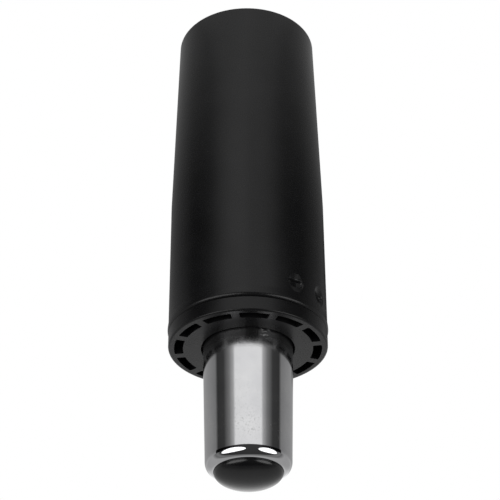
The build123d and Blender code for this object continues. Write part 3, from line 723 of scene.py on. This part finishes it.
class LIFT_OT_foot(Operator):
    """Build what shows underneath, the plate, rod, washer and clip, and the bearing's balls"""

    bl_idname = "gas_lift.foot"
    bl_label = "Foot"

    def execute(self, context):
        sizes = context.scene.lift_foot
        self.plate(context.scene.lift_column, sizes)
        self.rod(sizes)
        self.washer(sizes)
        self.clip(sizes)
        self.balls(sizes)
        return {"FINISHED"}

    def plate(self, column, sizes):
        """The pressed cup, its skirt along the tapered bore."""
        low, high = heights_of("base_plate")
        slope = math.tan(column.taper_angle)
        hole = sizes.rod_foot + SLIDE_GAP

        def skirt(height):
            """Radius of the skirt at a height."""
            return column.radius - column.wall - (column.taper_length - height) * slope - FIT_GAP

        recess, wall = sizes.plate_recess, sizes.plate_wall
        outline = rounded([(hole, recess, EDGE_BREAK), (skirt(recess) - wall, recess, sizes.plate_bend),
                           (skirt(low) - wall, low, EDGE_BREAK), (skirt(low), low, EDGE_BREAK),
                           (skirt(high), high, sizes.plate_bend), (hole, high, EDGE_BREAK)])
        plate = turned("base_cup", outline)
        stand_in(plate, "column", "column_paint", "base_plate")

    def rod(self, sizes):
        """The rod, with its centre drilling, clip groove and stepped head."""
        low, high = heights_of("piston_rod")
        groove_low, groove_high = heights_of("retaining_clip")
        groove_low -= FIT_GAP
        groove_high += FIT_GAP
        step = heights_of("bearing_upper_washer")[1]
        head = heights_of("piston")[0]
        foot, chamfer = sizes.rod_foot, sizes.rod_chamfer
        fine = EDGE_BREAK / 2
        outline = rounded([(0, low + sizes.centre_depth), (sizes.centre_radius, low, fine),
                           (foot - chamfer, low), (foot, low + chamfer),
                           (foot, groove_low, fine), (foot - sizes.groove_depth, groove_low),
                           (foot - sizes.groove_depth, groove_high), (foot, groove_high, fine),
                           (foot, step), (sizes.rod_radius, step, EDGE_BREAK),
                           (sizes.rod_radius, head, EDGE_BREAK), (sizes.rod_head, head),
                           (sizes.rod_head, high - chamfer), (sizes.rod_head - chamfer, high), (0, high)],
                          steps=4)
        rod = turned("ground_rod", outline, even_angles(96))
        stand_in(rod, "rod", "ground_steel", "piston_rod")

    def washer(self, sizes):
        """The stamped washer: rounded on its punched side, nearly sharp on the other."""
        low, high = heights_of("rod_washer")
        edge = radius_of("rod_washer")
        hole = sizes.rod_foot + FIT_GAP
        outline = rounded([(hole, low, EDGE_BREAK), (edge, low, 2 * EDGE_BREAK), (edge, high, EDGE_BREAK / 2),
                           (hole, high, EDGE_BREAK)])
        washer = turned("foot_washer", outline, even_angles(120))
        stand_in(washer, "rod", "zinc_steel", "rod_washer")

    def clip(self, sizes):
        """The stamped clip: open towards -Y, with lugs that reach into the groove."""
        low, high = heights_of("retaining_clip")
        edge = radius_of("retaining_clip")
        grip = sizes.rod_foot - sizes.groove_depth + FIT_GAP
        lug_spread = 2 * math.pi / sizes.lug_count
        outer_end = math.asin(sizes.clip_mouth / 2 / edge)
        inner_end = math.asin(sizes.clip_mouth / 2 / sizes.relief_radius)
        steps = 90

        def sweep(end):
            """Angles from one side of the mouth round to the other."""
            return [end - math.pi / 2 + 2 * (math.pi - end) * step / steps for step in range(steps + 1)]

        corners = [polar(edge, turn) for turn in sweep(outer_end)]
        for turn in reversed(sweep(inner_end)):
            nearest = min(apart(turn, math.pi / 2 + lug_spread * lug) for lug in range(sizes.lug_count))
            on_lug = nearest < math.pi / 2 and sizes.relief_radius * math.sin(nearest) < sizes.lug_width / 2
            corners.append(polar(grip if on_lug else sizes.relief_radius, turn))
        clip = raised("foot_clip", corners, low, high)

        def is_rim(edge_found):
            """Edges of the clip's two flat faces."""
            return abs(edge_found.verts[0].co.z - edge_found.verts[1].co.z) < NO_SIZE

        bevel_edges(clip, is_rim, EDGE_BREAK, segments=2)
        stand_in(clip, "rod", "zinc_steel", "retaining_clip")

    def balls(self, sizes):
        """The ring of balls, placed by geometry nodes."""
        low, high = heights_of("bearing_balls")
        ball = new_object("one_ball", bpy.data.meshes.new("one_ball"))
        shape = bmesh.new()
        bmesh.ops.create_uvsphere(shape, u_segments=32, v_segments=16, radius=sizes.ball_radius)
        bmesh.ops.translate(shape, verts=shape.verts, vec=(sizes.ball_pitch, 0, (low + high) / 2))
        shape.to_mesh(ball.data)
        shape.free()
        balls = new_object("ball_ring", bpy.data.meshes.new("ball_ring"))
        repeat_round(balls, ball, sizes.ball_count, 0.0, ground_steel(), cut=False)
        bpy.data.objects.remove(ball)
        stand_in(balls, "cage", "ground_steel", "bearing_balls")


def ring_tree(cut):
    """Geometry nodes that copy a piece round the axis, and cut the copies from the mesh or keep them."""
    tree = bpy.data.node_groups.new("ring_of_cuts" if cut else "ring_of_copies", "GeometryNodeTree")
    for name, kind in (("Geometry", "NodeSocketGeometry"), ("Piece", "NodeSocketObject"),
                       ("Count", "NodeSocketInt"), ("Turn", "NodeSocketFloat"),
                       ("Material", "NodeSocketMaterial")):
        tree.interface.new_socket(name, in_out="INPUT", socket_type=kind)
    tree.interface.new_socket("Geometry", in_out="OUTPUT", socket_type="NodeSocketGeometry")
    given = add(tree, "NodeGroupInput").outputs
    piece = add(tree, "GeometryNodeObjectInfo", {"Object": given["Piece"]}).outputs["Geometry"]
    points = add(tree, "GeometryNodeMeshLine", {"Count": given["Count"], "Offset": (0, 0, 0)})
    index = add(tree, "GeometryNodeInputIndex")
    share = add(tree, "ShaderNodeMath", (index, given["Count"]), operation="DIVIDE")
    turn = add(tree, "ShaderNodeMath", (share, 2 * math.pi, given["Turn"]), operation="MULTIPLY_ADD")
    spin = add(tree, "ShaderNodeCombineXYZ", {"Z": turn})
    copies = add(tree, "GeometryNodeInstanceOnPoints",
                 {"Points": points, "Instance": piece, "Rotation": spin})
    result = add(tree, "GeometryNodeRealizeInstances", {"Geometry": copies})
    if cut:
        carved = add(tree, "GeometryNodeMeshBoolean", {"Mesh 1": given["Geometry"], "Mesh 2": result},
                     operation="DIFFERENCE", solver="EXACT")
        result = add(tree, "GeometryNodeRealizeInstances", {"Geometry": carved})
    painted = add(tree, "GeometryNodeSetMaterial", {"Geometry": result, "Material": given["Material"]})
    add(tree, "NodeGroupOutput", {"Geometry": painted})
    return tree


def repeat_round(target, piece, count, turn, material, cut):
    """Copies a piece round the axis into a mesh, or cuts the copies from it, and makes the result plain."""
    modifier = target.modifiers.new("ring", "NODES")
    modifier.node_group = ring_tree(cut)
    values = {"Piece": piece, "Count": count, "Turn": turn, "Material": material}
    for item in modifier.node_group.interface.items_tree:
        if item.in_out == "INPUT" and item.name in values:
            modifier[item.identifier] = values[item.name]
    settle(target)


class LIFT_OT_bush(Operator):
    """Build the moulded bush: sleeve, lands and ribs, and the flange with its ring of slots"""

    bl_idname = "gas_lift.bush"
    bl_label = "Guide Bush"

    def execute(self, context):
        sizes = context.scene.lift_bush
        column = context.scene.lift_column
        low, high = heights_of("guide_bush")
        seat = heights_of("column_tube")[1]
        edge = radius_of("guide_bush")
        bore = radius_of("pressure_tube") + SLIDE_GAP
        column_bore = column.radius - column.wall
        sleeve = column_bore - sizes.core_depth
        plug = column_bore - sizes.plug_gap
        land_base = column.taper_length + sizes.land_inset
        stake_height = seat - column.stake_drop
        land_top = stake_height - column.bulge_radius - sizes.stake_room
        ring_base = stake_height + column.bulge_radius + sizes.stake_room
        ring_top = ring_base + sizes.ring_height
        under = seat + sizes.seam
        outline = rounded([
            (bore + sizes.lead, low), (sleeve, low, sizes.lead), (sleeve, land_base),
            (plug, land_base, EDGE_BREAK), (plug, land_top, EDGE_BREAK),
            (sleeve, land_top), (sleeve, ring_base), (plug, ring_base), (plug, seat),
            (column_bore + sizes.seat_width, seat), (column_bore + sizes.seat_width, under),
            (edge, under, sizes.under_rounding), (edge, high, sizes.edge_rounding),
            (bore + sizes.mouth_width, high, EDGE_BREAK), (bore, high - sizes.mouth_depth, EDGE_BREAK),
            (bore, low + sizes.lead)])
        bush = turned("slotted_bush", outline)

        shape = bmesh.new()
        over = 1.0 * MM
        add_block(shape, self.slot(sizes, sleeve, column_bore), ring_top, high + over)
        add_block(shape, self.slot(sizes, sleeve, plug + over), land_base + sizes.land_length,
                  land_top - sizes.land_length)
        cutter = new_object("slot_cutter", mesh_of("slot_cutter", shape))
        repeat_round(bush, cutter, sizes.slot_count, sizes.slot_turn, moulded_acetal(), cut=True)
        bpy.data.objects.remove(cutter)
        stand_in(bush, "column", "bush_plastic", "guide_bush")
        return {"FINISHED"}

    def slot(self, sizes, inner, outer):
        """Plan of one slot between two webs whose sides are parallel."""
        half = math.pi / sizes.slot_count
        arc_steps = 18
        corners = []
        for radius, direction in ((inner, 1), (outer, -1)):
            end = half - math.asin(sizes.web_width / 2 / radius)
            for step in range(arc_steps + 1):
                turn = direction * end * (2 * step / arc_steps - 1)
                rounding = (sizes.slot_corner,) if step in (0, arc_steps) else ()
                corners.append(polar(radius, turn) + rounding)
        return rounded(corners, steps=5)


class LIFT_OT_tube(Operator):
    """Build the chromed tube: straight wall, seat taper, and both rolled ends"""

    bl_idname = "gas_lift.tube"
    bl_label = "Pressure Tube"

    def execute(self, context):
        sizes = context.scene.lift_tube
        slope = math.tan(context.scene.lift_column.taper_angle)
        low, high = heights_of("pressure_tube")
        radius = radius_of("pressure_tube")
        bore = radius - sizes.wall
        groove_low = heights_of("valve_body")[1]
        groove_high = heights_of("valve_snap_ring")[1] + FIT_GAP
        groove = radius_of("valve_snap_ring") + FIT_GAP
        top = radius - sizes.taper_length * slope
        start = Vector((top + sizes.shoulder_drop * slope, high - sizes.shoulder_drop))
        end = Vector((top - sizes.shoulder, high))
        lift = Vector((-slope, 1)) * sizes.shoulder_drop * sizes.shoulder_ease
        sweep = interpolate_bezier(start, start + lift, end + Vector((sizes.shoulder / 2, 0)), end,
                                   sizes.shoulder_steps)
        outline = rounded([
            (bore - sizes.crimp_reach, low, EDGE_BREAK), (radius, low, sizes.crimp_rounding),
            (radius, high - sizes.taper_length), *(point[:2] for point in sweep),
            (bore - sizes.lip_reach, high, EDGE_BREAK / 3),
            (bore - sizes.lip_reach, high - sizes.lip_thickness, EDGE_BREAK),
            (bore, high - sizes.lip_thickness), (bore, groove_high), (groove, groove_high),
            (groove, groove_low), (bore, groove_low), (bore, low + sizes.crimp_thickness),
            (bore - sizes.crimp_reach, low + sizes.crimp_thickness, EDGE_BREAK)], steps=12)
        tube = turned("chromed_tube", outline)
        stand_in(tube, "cylinder", "tube_chrome", "pressure_tube")
        return {"FINISHED"}


class LIFT_OT_button(Operator):
    """Build the release button: a glossy dome over a collar, with the boss that holds its pin"""

    bl_idname = "gas_lift.button"
    bl_label = "Release Button"

    def execute(self, context):
        sizes = context.scene.lift_button
        tube = context.scene.lift_tube
        low, high = heights_of("release_button")
        lip = radius_of("pressure_tube") - tube.wall - tube.lip_reach
        edge = lip - sizes.gap
        brim = high - sizes.dome
        collar = radius_of("release_button")
        collar_high = brim - tube.lip_thickness - COLLAR_GAP
        collar_low = collar_high - sizes.flange_thickness
        inside = edge - sizes.wall

        def dome_at(radius):
            """Height of the dome over a radius."""
            return brim + sizes.dome * math.sqrt(1 - (radius / edge) ** 2)

        dome_steps = 32
        turns = [math.pi / 2 * step / dome_steps for step in range(dome_steps)]
        dome = [(edge * math.cos(turn), brim + sizes.dome * math.sin(turn)) for turn in turns]
        outline = rounded(
            [(0, low + sizes.pin_grip), (sizes.pin_radius, low + sizes.pin_grip), (sizes.pin_radius, low),
             (sizes.boss_radius, low, EDGE_BREAK),
             (sizes.boss_radius, dome_at(sizes.boss_radius) - sizes.wall),
             (inside, dome_at(inside) - sizes.wall), (inside, collar_low), (collar, collar_low, EDGE_BREAK),
             (collar, collar_high, EDGE_BREAK), (edge, collar_high)] + dome + [(0, high)])
        button = turned("domed_button", outline)
        stand_in(button, "button", "button_plastic", "release_button")
        return {"FINISHED"}


class LIFT_OT_inner(Operator):
    """Give every piece that stays a CAD node its finish"""

    bl_idname = "gas_lift.inner"
    bl_label = "Inner Pieces"

    def execute(self, context):
        finishes = {}
        for row in frame["record"]["subparts"]:
            slot = row["material_slot"]
            node = frame["nodes"][row["node"]]
            if node.hide_render:
                continue
            if slot not in finishes:
                finishes[slot] = FINISHES[slot]()
            dress(node, finishes[slot])
        return {"FINISHED"}


# What reflections see of the studio: (degrees, level). On the floor the angle is counted from the
# camera's side round the piece, and overhead it is the angle away from that side. NEAR, MID and FAR
# are rings of the floor, and the pairs of distances say where one ring passes into the next.
NEAR_CARDS = ((0, 0.88), (32, 0.64), (48, 0.4), (64, 0.38), (96, 0.38), (112, 0.34), (160, 0.27), (180, 0.4))
MID_CARDS = ((0, 0.95), (20, 0.9), (34, 0.6), (50, 0.14), (64, 0.04), (84, 0.03), (94, 0.12), (112, 0.17),
             (160, 0.2), (175, 0.5))
FAR_CARDS = ((0, 0.97), (33, 0.93), (37, 0.5), (48, 0.22), (64, 0.05), (84, 0.04), (91, 0.22), (112, 0.28),
             (160, 0.36), (175, 1.0))
SKY_CARDS = ((0, 0.05), (50, 0.04), (76, 0.04), (84, 0.22), (88, 0.22), (93, 0.17), (104, 0.42), (115, 0.42),
             (140, 0.42), (150, 0.5), (160, 0.8), (170, 1.4))
NEAR_RING = 30 * MM, 130 * MM
MID_RING = 200 * MM, 230 * MM
WEDGE_RING = 440 * MM, 465 * MM     # the camera's stand hides the floor from here on
HORIZON_RING = 250 * MM, 1200 * MM  # behind the piece, the floor brightens towards the horizon
HORIZON_GAIN = 1.5
STAND_LEVEL = 0.05
RIGHT_SIDE = 0.75                   # the middle ring is dimmer on the side of -X
BACK_CARD_NEAR = 110 * MM, 135 * MM     # a dark card behind, on the side of -X, starts here
BACK_CARD_FAR = 250 * MM, 275 * MM      # and ends here
BACK_CARD_TURN = 2.5                # radians from the camera's side to the card's edge
BACK_CARD_LEVEL = 0.35
WHITE = 1, 1, 1, 1
FLOOR_HALF = 6.0                    # metres
SENSOR_WIDTH = 36                   # millimetres
CLIP_START = 10 * MM
LAMP_AIM = Vector((0, 0, 130 * MM))

# Lamps: degrees round from the camera's side, degrees up, distance, width and height
RIGHT_SOFTBOX = -51.5, 16, 700 * MM, 650 * MM, 430 * MM
LEFT_SOFTBOX = 40, 16, 700 * MM, 875 * MM, 430 * MM
TOP_SOFTBOX = 180, 60, 900 * MM, 900 * MM, 500 * MM


class LIFT_OT_stage(Operator):
    """Set the floor, the lamps, the world and the camera"""

    bl_idname = "gas_lift.stage"
    bl_label = "Stage"

    def execute(self, context):
        look = context.scene.lift_stage
        context.scene.view_settings.view_transform = "Standard"
        self.camera(context.scene, look)
        self.floor()
        self.world(context.scene, look)
        self.lamp("right_softbox", RIGHT_SOFTBOX, look.right_power)
        self.lamp("left_softbox", LEFT_SOFTBOX, look.left_power)
        self.lamp("top_softbox", TOP_SOFTBOX, look.top_power).visible_glossy = False
        return {"FINISHED"}

    def camera(self, scene, look):
        """The camera looks down along +Y, and the picture is upside down."""
        lens = bpy.data.cameras.new("camera")
        lens.sensor_width = SENSOR_WIDTH
        lens.lens = look.lens
        lens.clip_start = CLIP_START
        camera = new_object("camera", lens)
        pitch = Matrix.Rotation(math.pi / 2 - look.camera_pitch, 4, "X")
        roll = Matrix.Rotation(look.camera_roll, 4, "Z")
        place = Vector((look.camera_side, -look.camera_distance, look.camera_height))
        camera.matrix_world = Matrix.Translation(place) @ pitch @ roll
        scene.camera = camera

    def floor(self):
        """A wide white sweep: white to the camera, patterned by the studio's dark cards in reflections."""
        mesh = bpy.data.meshes.new("floor")
        corners = [(-1, -1), (1, -1), (1, 1), (-1, 1)]
        mesh.from_pydata([(x * FLOOR_HALF, y * FLOOR_HALF, 0) for x, y in corners], [], [(0, 1, 2, 3)])
        floor = new_object("floor", mesh)
        material, tree, place = new_material("studio_paper")
        paper = add(tree, "ShaderNodeBsdfDiffuse", {"Color": linear("#f4f4f4")})
        shown = self.by_ray(tree, "ShaderNodeEmission", paper, self.floor_level(tree, place))
        add(tree, "ShaderNodeOutputMaterial", {"Surface": shown})
        dress(floor, material)

    def world(self, scene, look):
        """Soft white surroundings, darker towards the camera in reflections."""
        scene.world = bpy.data.worlds.new("studio")
        scene.world.use_nodes = True
        tree = scene.world.node_tree
        tree.nodes.clear()
        place = add(tree, "ShaderNodeTexCoord").outputs["Generated"]
        split = add(tree, "ShaderNodeSeparateXYZ", (place,)).outputs
        backward = add(tree, "ShaderNodeMath", (split["Y"], -1.0), operation="MULTIPLY")
        away = add(tree, "ShaderNodeMath", (backward,), operation="ARCCOSINE")
        soft = add(tree, "ShaderNodeBackground", {"Color": WHITE, "Strength": look.world_strength})
        shown = self.by_ray(tree, "ShaderNodeBackground", soft, self.cards(tree, away, SKY_CARDS))
        add(tree, "ShaderNodeOutputWorld", {"Surface": shown})

    def by_ray(self, tree, kind, soft, level):
        """Plain white for the camera, the cards' level for reflections, and a soft shader for all else."""
        cards, white = (add(tree, kind, {"Color": WHITE, "Strength": strength}) for strength in (level, 1.0))
        path = add(tree, "ShaderNodeLightPath").outputs
        lit = add(tree, "ShaderNodeMixShader", (path["Is Glossy Ray"], soft, cards))
        return add(tree, "ShaderNodeMixShader", (path["Is Camera Ray"], lit, white))

    def cards(self, tree, turn, levels):
        """Levels by an angle in radians."""
        share = add(tree, "ShaderNodeMath", (turn, math.pi), operation="DIVIDE")
        ramp = add(tree, "ShaderNodeValToRGB", (share,))
        stops = ramp.color_ramp.elements
        while len(stops) < len(levels):
            stops.new(1.0)
        for stop, (degrees, level) in zip(stops, levels):
            stop.position = degrees / 180
            stop.color = (level, level, level, 1)
        return ramp

    def dimmed(self, tree, share, level, factor):
        """A level, times a factor where the share is 1."""
        lower = add(tree, "ShaderNodeMath", (level, factor), operation="MULTIPLY")
        return add(tree, "ShaderNodeMix", {"Factor": share, 2: level, 3: lower})

    def floor_level(self, tree, place):
        """What reflections see of the floor: a bright wedge towards the camera, and dark cards beside it."""
        split = add(tree, "ShaderNodeSeparateXYZ", (place,)).outputs
        backward = add(tree, "ShaderNodeMath", (split["Y"], -1.0), operation="MULTIPLY")
        turn = add(tree, "ShaderNodeMath", (split["X"], backward), operation="ARCTAN2")
        away = add(tree, "ShaderNodeMath", (turn,), operation="ABSOLUTE")
        across = add(tree, "ShaderNodeVectorMath", (place,), operation="LENGTH").outputs["Value"]
        right = add(tree, "ShaderNodeMath", (split["X"], 0.0), operation="LESS_THAN")
        level, mid, far = (self.cards(tree, away, levels) for levels in (NEAR_CARDS, MID_CARDS, FAR_CARDS))
        mid = self.dimmed(tree, right, mid, RIGHT_SIDE)
        for ring, farther in ((NEAR_RING, mid), (MID_RING, far)):
            share = add(tree, "ShaderNodeMapRange", (across, *ring))
            level = add(tree, "ShaderNodeMix", {"Factor": share, 2: level, 3: farther})
        card = all_of(tree, add(tree, "ShaderNodeMapRange", (across, *BACK_CARD_NEAR)),
                      add(tree, "ShaderNodeMapRange", (across, *BACK_CARD_FAR, 1, 0)), right,
                      add(tree, "ShaderNodeMath", (away, BACK_CARD_TURN), operation="GREATER_THAN"))
        level = self.dimmed(tree, card, level, BACK_CARD_LEVEL)
        behind = add(tree, "ShaderNodeMath", (away, math.pi / 2), operation="GREATER_THAN")
        stand = add(tree, "ShaderNodeMapRange", (across, *WEDGE_RING, 1, STAND_LEVEL))
        horizon = add(tree, "ShaderNodeMapRange", (across, *HORIZON_RING, 1, HORIZON_GAIN))
        return all_of(tree, level, add(tree, "ShaderNodeMix", {"Factor": behind, 2: stand, 3: horizon}))

    def lamp(self, name, placing, power):
        """An oval lamp at an angle from the camera's side, pointed at the piece."""
        turn, rise, distance, width, height = placing
        light = bpy.data.lights.new(name, "AREA")
        light.shape = "ELLIPSE"
        light.size, light.size_y = width, height
        light.energy = power
        lamp = new_object(name, light)
        turn, rise = math.radians(turn), math.radians(rise)
        outward = Vector((math.sin(turn) * math.cos(rise), -math.cos(turn) * math.cos(rise), math.sin(rise)))
        lamp.location = LAMP_AIM + outward * distance
        lamp.rotation_euler = outward.to_track_quat("Z", "Y").to_euler()
        return lamp


BUILD_STEPS = ("column", "foot", "bush", "tube", "button", "inner", "stage")


class LIFT_PT_panel(Panel):
    """Lists the lift's pieces in the sidebar"""

    bl_idname = "LIFT_PT_panel"
    bl_label = "Chair Gas Lift"
    bl_space_type = "VIEW_3D"
    bl_region_type = "UI"
    bl_category = "Gas Lift"

    def draw(self, context):
        for step in BUILD_STEPS:
            self.layout.operator("gas_lift." + step)


SETTINGS = {
    "lift_column": ColumnSizes,
    "lift_bush": BushSizes,
    "lift_tube": TubeSizes,
    "lift_button": ButtonSizes,
    "lift_foot": FootSizes,
    "lift_colours": FinishColours,
    "lift_stage": StageLook,
}
OPERATORS = (LIFT_OT_column, LIFT_OT_foot, LIFT_OT_bush, LIFT_OT_tube, LIFT_OT_button, LIFT_OT_inner,
             LIFT_OT_stage)


def register():
    for group in SETTINGS.values():
        bpy.utils.register_class(group)
    for operator in OPERATORS + (LIFT_PT_panel,):
        bpy.utils.register_class(operator)
    for name, group in SETTINGS.items():
        setattr(bpy.types.Scene, name, PointerProperty(type=group))


def unregister():
    for name in SETTINGS:
        delattr(bpy.types.Scene, name)
    for operator in reversed(OPERATORS + (LIFT_PT_panel,)):
        bpy.utils.unregister_class(operator)
    for group in reversed(list(SETTINGS.values())):
        bpy.utils.unregister_class(group)


def main():
    register()
    for step in BUILD_STEPS:
        getattr(bpy.ops.gas_lift, step)()


if __name__ == "__main__":
    main()
